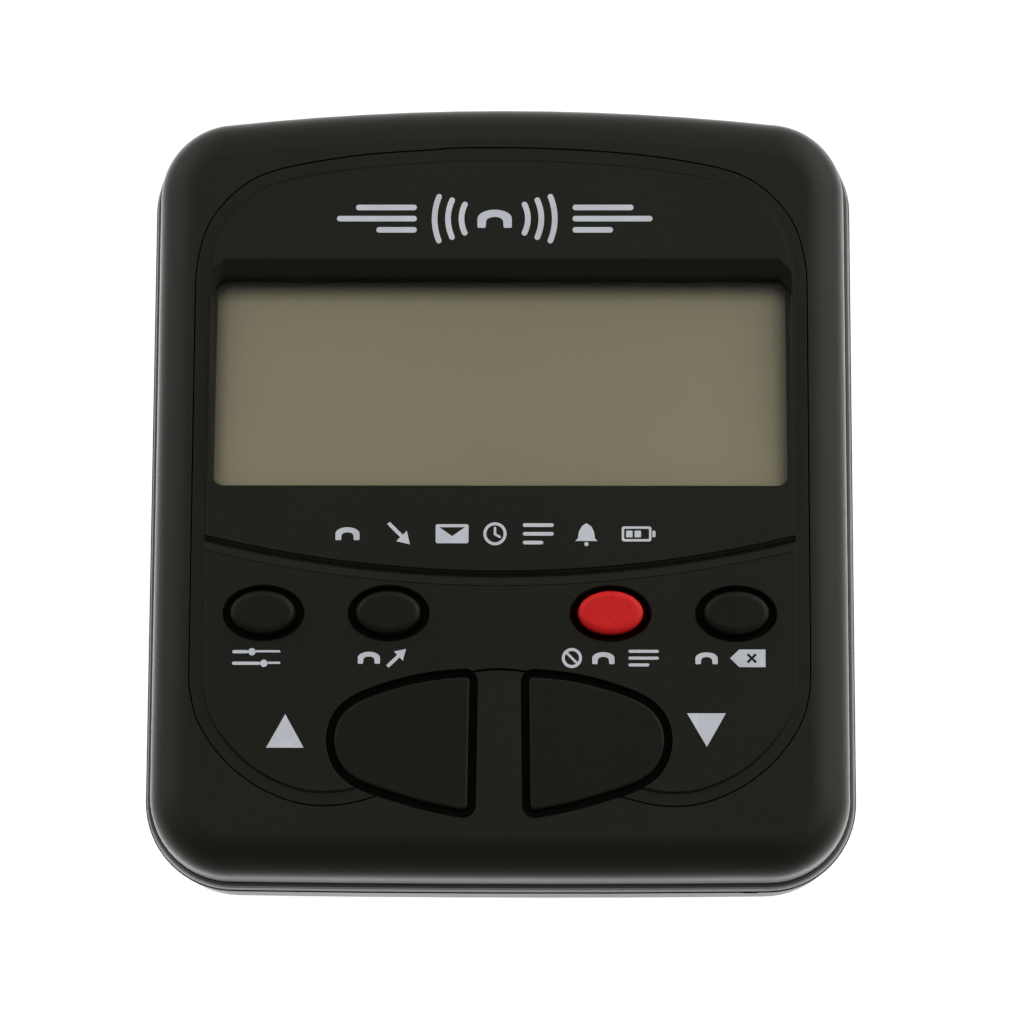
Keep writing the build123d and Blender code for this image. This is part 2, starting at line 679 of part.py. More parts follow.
with BuildPart() as back_shell:
    with BuildSketch(level(z_back)):
        add(case_outline(back_grow))
    extrude(amount=z_part - part_gap / 2 - z_back)
    fillet(back_shell.edges().group_by(Axis.Z)[0], back_round)
    with BuildSketch(level(floor_z)):
        add(case_outline(-shell_t))
    extrude(amount=z_part, mode=Mode.SUBTRACT)
    # rim that locates the front shell
    with BuildSketch(level(z_part - 1.5)):
        add(case_outline(-shell_t + 0.98))
        add(case_outline(-shell_t - 0.02), mode=Mode.SUBTRACT)
    extrude(amount=2.75)
    # battery bay walls and ceiling
    with BuildSketch(level(inner_z)):
        with Locations((0, bay_y)):
            Rectangle(2 * (bay_x + bay_wall), bay_l + 2 * bay_wall)
    extrude(amount=bay_z + bay_wall - inner_z)
    with BuildSketch(level(below)):
        with Locations((0, bay_y)):
            Rectangle(2 * bay_x, bay_l)
    extrude(amount=bay_z - below, mode=Mode.SUBTRACT)
    # the bay must not stand past the inside of the rim
    with BuildSketch(level(z_part + 1.2)):
        Rectangle(120, 120)
        add(case_outline(-shell_t - 0.12), mode=Mode.SUBTRACT)
    extrude(amount=4, mode=Mode.SUBTRACT)
    # screw towers, with a wide hole for the head and a narrow one for the shank
    with BuildSketch(level(inner_z)):
        with Locations(*boss_xy):
            Circle(boss_r + 0.7)
    extrude(amount=z_part + 0.5 - inner_z)
    for hole_r, hole_h in ((2.6, 7.08), (screw_r + 0.15, 20)):
        with BuildSketch(level(below)):
            with Locations(*boss_xy):
                Circle(hole_r)
        extrude(amount=hole_h, mode=Mode.SUBTRACT)
    # opening for the battery door: it reaches the edge of the case
    with BuildSketch(level(far_below)):
        with Locations((0, (door_top - far_y) / 2)):
            Rectangle(2 * door_hw, door_top + far_y)
    extrude(amount=door_t + 1.1, mode=Mode.SUBTRACT)
    with BuildSketch(level(far_below)):
        with Locations((0, bay_y0 - 5)):
            Rectangle(2 * door_hw, 10)
    extrude(amount=3.4, mode=Mode.SUBTRACT)
    # grooves for the door's side tongues
    for side in sides:
        with BuildSketch(Plane.XZ.offset(far_y)):
            with Locations((side * (door_hw + 0.45), z_back + door_t - 0.35)):
                Rectangle(1.3, 0.9)
        extrude(amount=-(far_y + door_top - 2.0), mode=Mode.SUBTRACT)
    # pockets for the feet
    with BuildSketch(level(far_below)):
        with Locations(*foot_xy):
            Circle(foot_r + 0.05)
    extrude(amount=1 + foot_seat, mode=Mode.SUBTRACT)
    # keyholes
    with BuildSketch(level(far_below)):
        with Locations(*[(side * keyhole_x, keyhole_y) for side in sides]):
            Circle(keyhole_r)
        with Locations(*[(side * keyhole_x, keyhole_y + keyhole_rise) for side in sides]):
            SlotOverall(2 * keyhole_rise + 2 * keyhole_slot_r - 2.0, 2 * keyhole_slot_r,
                        rotation=90)
    extrude(amount=3.2, mode=Mode.SUBTRACT)
    # telephone socket openings, then clearance further in
    with BuildSketch(level(slot_z)):
        with Locations(*jack_slot_xy):
            Rectangle(jack_slot_w, jack_slot_l)
    extrude(amount=20, mode=Mode.SUBTRACT)
    with BuildSketch(level(slot_z)):
        with Locations((-jack_x, 43.6), (jack_x, 43.6)):
            Rectangle(jack_slot_w, 9.2)
    extrude(amount=20, mode=Mode.SUBTRACT)
    # pry notch on the parting line
    with BuildSketch(level(z_part - 1.1)):
        with Locations((notch_x, -50.4)):
            Rectangle(notch_w, 1.5)
    extrude(amount=1.4, mode=Mode.SUBTRACT)
export_piece(back_shell, "back_shell")

# --- Battery door ---
door_end = door_top - door_gap      # upper edge of the door itself
tongue_h = 0.70
tongue_reach = 46.0                 # -Y reach of the side tongues, before they are trimmed
ridge_pitch = 1.6

with BuildPart() as battery_door:
    with BuildSketch(level(z_back)):
        add(case_outline(back_grow))
    extrude(amount=2.3)
    fillet(battery_door.edges().group_by(Axis.Z)[0], back_round - 0.15)
    # keep only what lies in the door's opening
    with BuildSketch(level(far_below)):
        Rectangle(130, 130)
        with Locations((0, (door_end - far_y) / 2)):
            Rectangle(2 * (door_hw - door_gap), door_end + far_y, mode=Mode.SUBTRACT)
    extrude(amount=6, mode=Mode.SUBTRACT)
    # thinner everywhere but along the bottom edge
    with BuildSketch(level(z_back + door_t)):
        with Locations((0, (bay_y0 - door_gap + 20) / 2)):
            Rectangle(80, 20 - bay_y0 + door_gap)
    extrude(amount=5, mode=Mode.SUBTRACT)
    # side tongues
    for side in sides:
        with BuildSketch(level(z_back + door_t - tongue_h)):
            with Locations((side * (door_hw - 0.1), (door_end - tongue_reach) / 2 - 0.6)):
                Rectangle(1.9, door_end + tongue_reach - 3.0)
        extrude(amount=tongue_h)
    # grip: shallow grooves that get shorter towards -Y
    with BuildSketch(level(z_back - 0.2)):
        for k in range(6):
            with Locations((0, -14.5 - ridge_pitch * k)):
                SlotOverall(15.0 - 1.2 * k, 0.8)
    extrude(amount=0.65, mode=Mode.SUBTRACT)
export_piece(battery_door, "battery_door")

# --- Batteries, contacts and leads ---
plate_w, contact_t = 9.0, 0.4
turns = 3
coil_r, coil_bore = 3.2, 2.5        # first ring of a spring
coil_step = 0.35                    # each ring is this much smaller in radius

with BuildPart() as aaa_cells:
    for y, nub_side in cells:
        with BuildSketch(Plane.YZ.offset(-nub_side * cell_l / 2)):
            with Locations((y, cell_z)):
                Circle(cell_r)
        extrude(amount=nub_side * cell_l)
        with BuildSketch(Plane.YZ.offset(nub_side * (cell_l / 2 - 0.1))):
            with Locations((y, cell_z)):
                Circle(1.9)
        extrude(amount=nub_side * 1.2)
export_piece(aaa_cells, "aaa_cells")

# each spring is a row of shrinking rings joined by pins, at the cell's plain end
with BuildPart() as battery_springs:
    for y, nub_side in cells:
        root_x = -nub_side * (bay_x - 0.55)
        pitch = (-nub_side * (cell_l / 2 + 0.05) - root_x) / turns
        for n in range(turns):
            with BuildSketch(Plane.YZ.offset(root_x + pitch * n)):
                with Locations((y, cell_z)):
                    Circle(coil_r - coil_step * n)
                    Circle(coil_bore - coil_step * n, mode=Mode.SUBTRACT)
            extrude(amount=pitch * 0.62)
            if n < turns - 1:
                with BuildSketch(Plane.YZ.offset(root_x + pitch * n)):
                    with Locations((y + 2.62 - coil_step * n, cell_z)):
                        Circle(0.3)
                extrude(amount=pitch * 1.2)
export_piece(battery_springs, "battery_springs")

with BuildPart() as battery_plates:
    for y, _ in cells:
        for side in sides:
            with BuildSketch(Plane.YZ.offset(side * (bay_x - 0.27) - contact_t / 2)):
                with Locations((y, cell_z)):
                    Rectangle(plate_w, plate_w)
            extrude(amount=contact_t)
export_piece(battery_plates, "battery_plates")

# leads up to the board: x as a share of the start's x, then y, z
lead_path = [(1.0, -12.0, 12.0), (1.02, -6.0, 10.5), (0.98, 1.0, 12.5), (0.97, 3.5, z_board - 0.15)]
for name, start_x in (("lead_positive", 31.0), ("lead_negative", -31.0)):
    with BuildPart() as lead:
        with BuildLine() as path:
            Spline(*[(start_x * share, y, z) for share, y, z in lead_path],
                   tangents=((0, 1, 0), (0, 0, 1)))
        with BuildSketch(Plane(origin=path.line @ 0, z_dir=path.line % 0)):
            Circle(0.55)
        sweep()
    export_piece(lead, name)

# --- Rubber feet ---
with BuildPart() as rubber_feet:
    with BuildSketch(Plane.XY):
        with Locations(*foot_xy):
            Circle(foot_r)
    extrude(amount=z_back + foot_seat - 0.02)
    chamfer(rubber_feet.edges().group_by(Axis.Z)[0], 0.3)
export_piece(rubber_feet, "rubber_feet")
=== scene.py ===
# A telephone caller box with a display, six keys and two sockets, lying on its back.
# X runs across it (west -X, east +X), Y from the keys' end (-Y) to the sockets' end (+Y)
# and Z up through the face. CAD and material sizes are in metres; printed marks are in mm.
import math

import bmesh
import bpy
from mathutils import Matrix, Vector

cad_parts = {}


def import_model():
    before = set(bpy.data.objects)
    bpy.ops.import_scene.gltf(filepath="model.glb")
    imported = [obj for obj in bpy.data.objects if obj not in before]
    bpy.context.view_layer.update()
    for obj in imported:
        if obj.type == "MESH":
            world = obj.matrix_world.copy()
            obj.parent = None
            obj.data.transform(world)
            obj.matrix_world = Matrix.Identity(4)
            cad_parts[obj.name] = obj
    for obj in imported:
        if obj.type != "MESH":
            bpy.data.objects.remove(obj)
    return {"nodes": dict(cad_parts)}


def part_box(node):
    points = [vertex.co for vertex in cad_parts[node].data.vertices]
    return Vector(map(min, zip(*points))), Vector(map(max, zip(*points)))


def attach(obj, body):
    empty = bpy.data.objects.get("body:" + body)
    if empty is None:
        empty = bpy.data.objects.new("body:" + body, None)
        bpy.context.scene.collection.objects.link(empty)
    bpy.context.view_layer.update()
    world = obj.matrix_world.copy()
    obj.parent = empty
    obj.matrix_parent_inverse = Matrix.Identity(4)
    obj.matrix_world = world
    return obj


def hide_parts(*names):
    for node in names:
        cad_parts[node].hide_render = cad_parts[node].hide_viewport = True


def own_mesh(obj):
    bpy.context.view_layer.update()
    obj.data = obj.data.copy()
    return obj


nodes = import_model()["nodes"]
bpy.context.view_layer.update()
scene = bpy.context.scene

MM = 0.001
LCD_HALF_WIDTH = 0.0360     # visible display
LCD_TOP_Y = 0.0261
BODY_HALF_X = 0.045         # outline from which the floor's glow is measured
BODY_HALF_Y = 0.0505


# ---------------------------------------------------------------------------
# node builders
# ---------------------------------------------------------------------------
def srgb(*channels):
    """Linear RGBA from 0-255 sRGB channels."""
    def linear(c):
        c = c / 255.0
        return c / 12.92 if c <= 0.04045 else ((c + 0.055) / 1.055) ** 2.4
    return tuple(linear(c) for c in channels) + (1.0,)


def scaled(color, factor, lift=0.0):
    return tuple(min(1, c * factor + lift) for c in color[:3]) + (1,)


class Nodes:
    """Builds a node tree; values may be sockets (linked) or constants."""

    def __init__(self, owner, output, coordinates):
        owner.use_nodes = True
        self.tree = owner.node_tree
        self.tree.nodes.clear()
        self.out = self.node(output)
        self.coords = self.node("TexCoord").outputs[coordinates]

    def node(self, kind, inputs=None, **props):
        node = self.tree.nodes.new("ShaderNode" + kind)
        for key, value in props.items():
            setattr(node, key, value)
        for key, value in (inputs or {}).items():
            self.put(node.inputs[key], value)
        return node

    def put(self, socket, value):
        if hasattr(value, "links"):
            self.tree.links.new(value, socket)
        else:
            socket.default_value = value

    def position(self):
        return self.node("SeparateXYZ", {0: self.coords}).outputs

    def noise(self, scale, detail=3.0, rough=0.55, stretch=None):
        vector = self.coords
        if stretch:
            vector = self.node("Mapping", {"Vector": vector, "Scale": stretch}).outputs["Vector"]
        return self.node("TexNoise", {"Scale": scale, "Detail": detail, "Roughness": rough,
                                      "Distortion": 0.0, "Vector": vector}).outputs["Fac"]

    def voronoi(self, scale, randomness=1.0):
        return self.node("TexVoronoi", {"Scale": scale, "Randomness": randomness,
                                        "Vector": self.coords}, feature="F1").outputs

    def ramp(self, value, span=(0.3, 0.7), to=(0.0, 1.0)):
        """Map the span of a value to another range, held at both ends."""
        return self.node("MapRange", {"From Min": span[0], "From Max": span[1], "To Min": to[0],
                                      "To Max": to[1], "Value": value}).outputs["Result"]

    def math(self, operation, a, b=0.0, clamp=False):
        return self.node("Math", {0: a, 1: b}, operation=operation, use_clamp=clamp).outputs[0]

    def times(self, a, b):
        return self.math("MULTIPLY", a, b)

    def plus(self, a, b):
        return self.math("ADD", a, b)

    def absolute(self, value):
        return self.math("ABSOLUTE", value)

    def mix(self, factor, a, b, blend="MIX"):
        return self.node("Mix", {0: factor, 6: a, 7: b},
                         data_type="RGBA", blend_type=blend).outputs[2]

    def mix_float(self, factor, a, b):
        return self.node("Mix", {0: factor, 2: a, 3: b}, data_type="FLOAT").outputs[0]


class Material(Nodes):
    """A material textured in the object's own metres."""

    def __init__(self, name):
        self.material = bpy.data.materials.new(name)
        super().__init__(self.material, "OutputMaterial", "Object")

    def bump(self, height, strength, distance, normal=None):
        inputs = {"Strength": strength, "Distance": distance, "Height": height}
        if normal is not None:
            inputs["Normal"] = normal
        return self.node("Bump", inputs).outputs["Normal"]

    def bevel(self, radius, samples=4):
        return self.node("Bevel", {"Radius": radius}, samples=samples).outputs["Normal"]

    def backfacing(self):
        return self.node("NewGeometry").outputs["Backfacing"]

    def mix_shader(self, factor, a, b):
        return self.node("MixShader", {0: factor, 1: a, 2: b}).outputs[0]

    def finish(self, shader):
        self.put(self.out.inputs["Surface"], shader)
        return self.material

    def surface(self, color, rough, normal, metal=0.0, spec=0.5):
        return self.finish(self.node("BsdfPrincipled", {
            "Base Color": color, "Roughness": rough, "Metallic": metal,
            "Specular IOR Level": spec, "Normal": normal}).outputs[0])


# ---------------------------------------------------------------------------
# material families
# ---------------------------------------------------------------------------
def add_specks(mat, base, amount):
    """Scatter pale dust: a few cells of a fine pattern each carry one small dot."""
    cells_per_metre = 420
    cell = mat.voronoi(scale=cells_per_metre)
    seed = mat.node("SeparateColor", {0: cell["Color"]}).outputs
    chosen = mat.math("GREATER_THAN", seed[0], 1.0 - 0.012 * amount)
    extra_radius = mat.times(seed[1], 0.000060)
    distance = mat.times(cell["Distance"], 1 / cells_per_metre)
    dot = mat.math("LESS_THAN", distance, mat.plus(extra_radius, 0.00002))
    return mat.mix(mat.times(mat.times(chosen, dot), 0.30), base, (0.42, 0.42, 0.40, 1))


def satin_plastic(name, color, rough, grain=1.0, edge=0.10, specks=0.0, spec=0.5, tint=0.10,
                  shade=None):
    """Moulded plastic with fine grain, faint mottling, dust and edges rounded by edge mm.
    shade(mat) gives a 0-1 factor that darkens places little light reaches."""
    mat = Material(name)
    fine = mat.noise(scale=5200, detail=2.0, rough=0.6)
    coarse = mat.noise(scale=1900, detail=4.0, rough=0.62)
    flow = mat.noise(scale=42, rough=0.5)
    height = mat.plus(mat.times(fine, 0.55), mat.times(coarse, 0.45))
    rounded = mat.bevel(edge * MM) if edge else None
    normal = mat.bump(height, strength=0.30 * grain, distance=0.00003, normal=rounded)
    base = mat.mix(mat.ramp(flow), scaled(color, 1 - tint), scaled(color, 1 + tint))
    peaks = mat.times(mat.ramp(coarse, span=(0.35, 0.75)), 0.22)
    base = mat.mix(peaks, base, scaled(color, 1.9, lift=0.004))
    if specks:
        base = add_specks(mat, base, specks)
    roughness = mat.plus(mat.ramp(flow, span=(0.25, 0.75), to=(rough - 0.03, rough + 0.03)),
                         mat.ramp(coarse, to=(-0.02, 0.03)))
    if shade:
        deep = shade(mat)
        base = mat.mix(deep, base, scaled(color, 0.06))
        spec = mat.times(mat.math("SUBTRACT", 1.0, mat.times(deep, 0.92)), spec)
    return mat.surface(base, roughness, normal, spec=spec)


def below(top, bottom, full=1.0):
    """Shade that grows from nothing at height top to full at bottom (mm)."""
    return lambda mat: mat.ramp(mat.position()[2], span=(bottom * MM, top * MM), to=(full, 0.0))


def lip_shade(mat):
    """Painted shade on the low lip along the west edge, dimming its colour and reflection."""
    x, y, z = mat.position()
    low = mat.ramp(z, span=(0.01595, 0.01615), to=(0.68, 0.0))
    return mat.times(low, mat.ramp(x, span=(-0.0440, -0.0420), to=(1.0, 0.0)))


def bay_shade(mat):
    """Shade on the steep wall at the +Y edge of the window."""
    x, y, z = mat.position()
    beyond = mat.ramp(y, span=(0.02585, 0.02625))
    low = mat.ramp(z, span=(0.02442, 0.02462), to=(1.0, 0.0))
    within = mat.ramp(mat.absolute(x), span=(0.0358, 0.0366), to=(1.0, 0.0))
    return mat.times(mat.times(beyond, low), mat.times(within, 0.42))


def rubber(name, color, rough, scale=2600):
    mat = Material(name)
    grain = mat.noise(scale=scale, detail=4.0, rough=0.65)
    mottle = mat.noise(scale=60, rough=0.5)
    base = mat.mix(mat.ramp(mottle), scaled(color, 0.85), scaled(color, 1.2))
    roughness = mat.ramp(grain, to=(rough - 0.08, rough + 0.06))
    rounded = mat.bevel(0.12 * MM, samples=3)
    normal = mat.bump(grain, strength=0.35, distance=0.00004, normal=rounded)
    return mat.surface(base, roughness, normal, spec=0.35)


def metal(name, color, rough, stretch=(1, 1, 1)):
    mat = Material(name)
    brushed = mat.noise(scale=900, rough=0.6, stretch=stretch)
    stain = mat.noise(scale=90)
    base = mat.mix(mat.ramp(stain, span=(0.35, 0.75)), color, scaled(color, 0.78))
    roughness = mat.ramp(brushed, span=(0.25, 0.75), to=(rough - 0.08, rough + 0.12))
    rounded = mat.bevel(0.06 * MM, samples=3)
    normal = mat.bump(brushed, strength=0.18, distance=0.00002, normal=rounded)
    return mat.surface(base, roughness, normal, metal=1.0)


# ---------------------------------------------------------------------------
# single materials
# ---------------------------------------------------------------------------
def display_field():
    """Faintly mottled olive grey, with painted shadow at the display's top and sides."""
    mat = Material("display_field")
    x, y, z = mat.position()
    grain = mat.noise(scale=2400, detail=2.0, rough=0.5)
    wash = mat.noise(scale=28, detail=2.0, rough=0.5)
    # painted shade: a touch darker towards the middle across X
    field = mat.mix(mat.ramp(mat.absolute(x), span=(0.002, 0.030)),
                    srgb(124, 117, 95), srgb(128, 121, 99))
    field = mat.mix(mat.ramp(wash, to=(0.0, 0.35)), field, srgb(130, 123, 100))
    field = mat.mix(mat.ramp(grain, to=(0.0, 0.10)), field, srgb(110, 103, 84))
    # painted shadow along the top and side edges, where the window's walls shade the display
    top = mat.ramp(y, span=(LCD_TOP_Y - 0.0025, LCD_TOP_Y - 0.0002))
    sides = mat.ramp(mat.absolute(x), span=(LCD_HALF_WIDTH - 0.0018, LCD_HALF_WIDTH - 0.0001))
    # powers shape the falloff, factors set its depth
    painted_edge_shadow = mat.math("ADD", mat.times(mat.math("POWER", top, 1.3), 0.93),
                    mat.times(mat.math("POWER", sides, 1.5), 0.55), clamp=True)
    painted_edge_shadow = mat.math("MINIMUM", painted_edge_shadow, 0.96)
    field = mat.mix(painted_edge_shadow, field, (0.006, 0.005, 0.0015, 1))
    return mat.surface(field, rough=mat.ramp(grain, to=(0.50, 0.58)),
                       normal=mat.bump(grain, strength=0.06, distance=0.00001), spec=0.30)


def clear_window():
    """Light passes straight through; outer faces add a faint reflection."""
    mat = Material("clear_window")
    wave = mat.noise(scale=55, detail=2.0, rough=0.5)
    fresnel = mat.node("Fresnel", {"IOR": 1.25}).outputs[0]
    gloss = mat.node("BsdfGlossy", {
        "Roughness": mat.ramp(wave, to=(0.10, 0.16)),
        "Color": (1, 1, 1, 1),
        "Normal": mat.bump(wave, strength=0.05, distance=0.0002)}).outputs[0]
    tint = mat.mix(mat.ramp(wave), (0.990, 0.992, 0.982, 1), (0.982, 0.986, 0.974, 1))
    clear = mat.node("BsdfTransparent", {"Color": tint}).outputs[0]
    outside = mat.math("SUBTRACT", 1.0, mat.backfacing())
    return mat.finish(mat.mix_shader(mat.times(fresnel, outside), clear, gloss))


def board_green():
    """Green mask with buried tracks and a dusting of pads."""
    mat = Material("board_green")
    tracks = mat.node("TexBrick", {
        "Scale": 260.0, "Mortar Size": 0.035, "Mortar Smooth": 0.15, "Bias": 0.0,
        "Brick Width": 1.4, "Row Height": 0.4,
        "Color1": (0.010, 0.085, 0.030, 1),
        "Color2": (0.013, 0.115, 0.040, 1),
        "Mortar": (0.022, 0.190, 0.062, 1),
        "Vector": mat.coords}, offset=0.5).outputs
    cell = mat.voronoi(scale=380, randomness=0.4)
    pad = mat.math("LESS_THAN", cell["Distance"], 0.13)
    color = mat.mix(mat.times(pad, 0.8), tracks["Color"], (0.62, 0.60, 0.55, 1))
    return mat.surface(color, rough=mat.ramp(mat.noise(scale=700), to=(0.28, 0.42)),
                       normal=mat.bump(tracks["Fac"], strength=0.2, distance=0.00003))


def cell_wrap():
    """A two-tone wrap along each battery cell (X) and bright ends."""
    mat = Material("cell_wrap")
    x, y, z = mat.position()
    from_middle = mat.absolute(mat.math("SUBTRACT", x, 0.004))
    band = mat.math("GREATER_THAN", from_middle, 0.0125)
    bare_end = mat.math("GREATER_THAN", mat.absolute(x), 0.0212)
    scuff = mat.noise(scale=350, rough=0.6, stretch=(1, 6, 6))
    wrap = mat.mix(band, (0.020, 0.120, 0.070, 1), (0.030, 0.030, 0.032, 1))
    wrap = mat.mix(mat.ramp(scuff, span=(0.5, 0.8), to=(0, 0.25)), wrap, (0.35, 0.36, 0.36, 1))
    wrap = mat.mix(bare_end, wrap, (0.66, 0.66, 0.67, 1))
    return mat.surface(wrap, rough=mat.ramp(scuff, to=(0.22, 0.36)), metal=bare_end,
                       normal=mat.bump(scuff, strength=0.1, distance=0.00003))


def print_ink():
    """Pale pad-print ink, slightly worn."""
    mat = Material("print_ink")
    grain = mat.noise(scale=1500, detail=4.0, rough=0.6)
    wear = mat.noise(scale=240, rough=0.6)
    color = mat.mix(mat.ramp(wear, span=(0.3, 0.75)), srgb(192, 195, 201), srgb(177, 180, 187))
    color = mat.mix(mat.ramp(grain, span=(0.62, 0.80), to=(0.0, 0.30)), color,
                    srgb(138, 140, 145))
    return mat.surface(color, rough=mat.ramp(grain, to=(0.42, 0.55)), spec=0.4,
                       normal=mat.bump(grain, strength=0.2, distance=0.00001))


# ---------------------------------------------------------------------------
# finishes of the CAD pieces
# ---------------------------------------------------------------------------
def paint(material, *names):
    for name in names:
        mesh = nodes[name].data
        mesh.materials.clear()
        mesh.materials.append(material)
        for face in mesh.polygons:
            face.material_index = 0


BLACK = (0.0050, 0.0052, 0.0020, 1)
KEY_BLACK = (0.0040, 0.0042, 0.0016, 1)
KEY_RED = (0.49, 0.0082, 0.0080, 1)

# case and keys
paint(satin_plastic("shell_black", BLACK, rough=0.38, specks=0.6, spec=0.21, shade=lip_shade),
      "front_shell")
paint(satin_plastic("back_black", BLACK, rough=0.42, edge=0.07, specks=0.3, spec=0.21),
      "back_shell", "battery_door")
paint(satin_plastic("panel_black", BLACK, rough=0.40, edge=0.13, specks=1.0, spec=0.185,
                    shade=bay_shade), "face_panel")
paint(satin_plastic("key_black", KEY_BLACK, rough=0.43, grain=0.9, specks=0.8, spec=0.145,
                    shade=below(top=24.6, bottom=23.2, full=0.45)),
      "set_key", "out_key", "remove_key", "up_key", "down_key")
paint(satin_plastic("key_red", KEY_RED, rough=0.42, grain=0.8, edge=0.07, specks=0.2, tint=0.03,
                    spec=0.18, shade=below(top=26.1, bottom=24.3)), "block_key")

# display
paint(display_field(), "lcd_glass")
paint(clear_window(), "display_window")

# rubber parts
paint(rubber("gasket_foam", (0.008, 0.008, 0.007, 1), rough=0.85, scale=4200), "display_gasket")
silicone = rubber("silicone_grey", (0.13, 0.135, 0.14, 1), rough=0.62)
paint(silicone, "contact_strip", "keypad_mat")
paint(rubber("foot_rubber", (0.016, 0.016, 0.017, 1), rough=0.78), "rubber_feet")

# holder, sockets, bare metal
paint(satin_plastic("holder_white", (0.62, 0.62, 0.58, 1), rough=0.5), "lcd_holder")
paint(satin_plastic("jack_black", (0.010, 0.010, 0.011, 1), rough=0.30, grain=0.4),
      "line_jack", "phone_jack")
paint(metal("zinc_steel", (0.56, 0.57, 0.60, 1), rough=0.30),
      "board_screws", "case_screws", "battery_springs", "battery_plates")
paint(metal("tin", (0.70, 0.70, 0.69, 1), rough=0.26), "chip_leads", "crystal")
paint(metal("gold_flash", (0.86, 0.62, 0.26, 1), rough=0.22), "jack_contacts")

# board, its parts and the cells
paint(board_green(), "main_board")
paint(satin_plastic("relay_yellow", (0.62, 0.40, 0.06, 1), rough=0.30, grain=0.4, edge=0.15),
      "hook_relay")
paint(satin_plastic("chip_epoxy", (0.014, 0.014, 0.015, 1), rough=0.55, edge=0.08),
      "controller_chip", "bridge_diodes")
paint(metal("transformer_core", (0.17, 0.15, 0.13, 1), rough=0.5, stretch=(1, 1, 30)),
      "line_transformer")
paint(satin_plastic("capacitor_sleeve", (0.012, 0.022, 0.085, 1), rough=0.28, grain=0.3),
      "filter_capacitors")
for lead, lead_name, lead_color in (
        ("lead_positive", "lead_red", (0.42, 0.012, 0.012, 1)),
        ("lead_negative", "lead_black", (0.012, 0.012, 0.012, 1))):
    paint(satin_plastic(lead_name, lead_color, rough=0.38, grain=0.3, edge=0.0), lead)
paint(cell_wrap(), "aaa_cells")

# ---------------------------------------------------------------------------
# rubber domes: turned shapes in place of the CAD domes
# ---------------------------------------------------------------------------
DOME_STEPS = 48
# (radius, height) as shares of the CAD dome's, from the foot up
DOME_PROFILE = [
    (1.0, 0.0), (0.97, 0.10), (0.93, 0.22), (0.85, 0.45), (0.76, 0.66),
    (0.69, 0.76), (0.64, 0.80), (0.61, 0.84), (0.60, 0.95), (0.57, 1.0),
]


def dome(key_name):
    low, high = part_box(key_name + "_dome")
    x, y = (low.x + high.x) / 2, (low.y + high.y) / 2
    radius, height = (high.x - low.x) / 2, high.z - low.z
    bm = bmesh.new()
    angles = [2 * math.pi * i / DOME_STEPS for i in range(DOME_STEPS)]
    rows = [[bm.verts.new((x + radius * across * math.cos(angle),
                           y + radius * across * math.sin(angle),
                           low.z + height * up)) for angle in angles]
            for across, up in DOME_PROFILE]
    for lower, upper in zip(rows, rows[1:]):
        for i in range(DOME_STEPS):
            j = (i + 1) % DOME_STEPS
            bm.faces.new((lower[i], lower[j], upper[j], upper[i]))
    bm.faces.new(rows[-1])
    bm.faces.new(list(reversed(rows[0])))
    mesh = bpy.data.meshes.new(key_name + "_dome_soft")
    bm.to_mesh(mesh)
    bm.free()
    mesh.shade_smooth()
    mesh.materials.append(silicone)
    soft = bpy.data.objects.new(key_name + "_dome_soft", mesh)
    scene.collection.objects.link(soft)
    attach(soft, "case")
    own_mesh(soft)
    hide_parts(key_name + "_dome")


for key_name in ("set", "out", "block", "remove", "up", "down"):
    dome(key_name)

# ---------------------------------------------------------------------------
# printed marks: closed outlines in mm
# ---------------------------------------------------------------------------
INK_THICKNESS = 0.020
INK_SINK = 0.004        # depth of the film's underside below the printed surface
KEYS_Z = 25.40          # printed surfaces
UPPER_Z = 25.72
EMBLEM_X, EMBLEM_Y = -0.8, 33.9
STATUS_Y = -6.4
KEY_ROW_Y = -21.93

ink = print_ink()


def placed(points, x, y):
    return [(x + point_x, y + point_y) for point_x, point_y in points]


def circle(x, y, radius, steps=40):
    angles = [2 * math.pi * i / steps for i in range(steps)]
    return [(x + radius * math.cos(angle), y + radius * math.sin(angle)) for angle in angles]


def arc_points(x, y, radius, start, end, steps=24):
    """Points on an arc from start to end degrees; closed, they make a disc segment."""
    angles = [math.radians(start + (end - start) * i / steps) for i in range(steps + 1)]
    return [(x + radius * math.cos(angle), y + radius * math.sin(angle)) for angle in angles]


def rounded_box(left, right, y, half_height, radius):
    """Rectangle centred on y with rounded corners."""
    top, bottom = y + half_height - radius, y - half_height + radius
    corners = ((right - radius, top, 0), (left + radius, top, 90),
               (left + radius, bottom, 180), (right - radius, bottom, 270))
    return [point for corner_x, corner_y, start in corners
            for point in arc_points(corner_x, corner_y, radius, start, start + 90, steps=7)]


def stroke(path, width, cap_steps=8):
    """Outline of an open line with round ends and mitred corners."""
    half = width / 2
    runs = [Vector((b[0] - a[0], b[1] - a[1])).normalized() for a, b in zip(path, path[1:])]
    left, right = [], []
    for i, (x, y) in enumerate(path):
        adjacent = runs[max(i - 1, 0):i + 1]
        tangent = sum(adjacent, Vector((0, 0))).normalized()
        reach = half / max(0.35, tangent.dot(adjacent[0]))      # 0.35 limits sharp mitres
        normal = Vector((-tangent.y, tangent.x))
        left.append((x + normal.x * reach, y + normal.y * reach))
        right.append((x - normal.x * reach, y - normal.y * reach))

    def cap(centre, side):
        start = math.atan2(side[1] - centre[1], side[0] - centre[0])
        angles = [start - math.pi * i / cap_steps for i in range(1, cap_steps)]
        return [(centre[0] + half * math.cos(angle), centre[1] + half * math.sin(angle))
                for angle in angles]
    return left + cap(path[-1], left[-1]) + list(reversed(right)) + cap(path[0], right[0])


def line(left, right, y, width):
    return stroke([(left, y), (right, y)], width)


def bars(start, ends, y, pitch, width):
    """Three stacked lines from one x to their own ends, top first."""
    return [line(start, end, y + row * pitch, width) for row, end in zip((1, 0, -1), ends)]


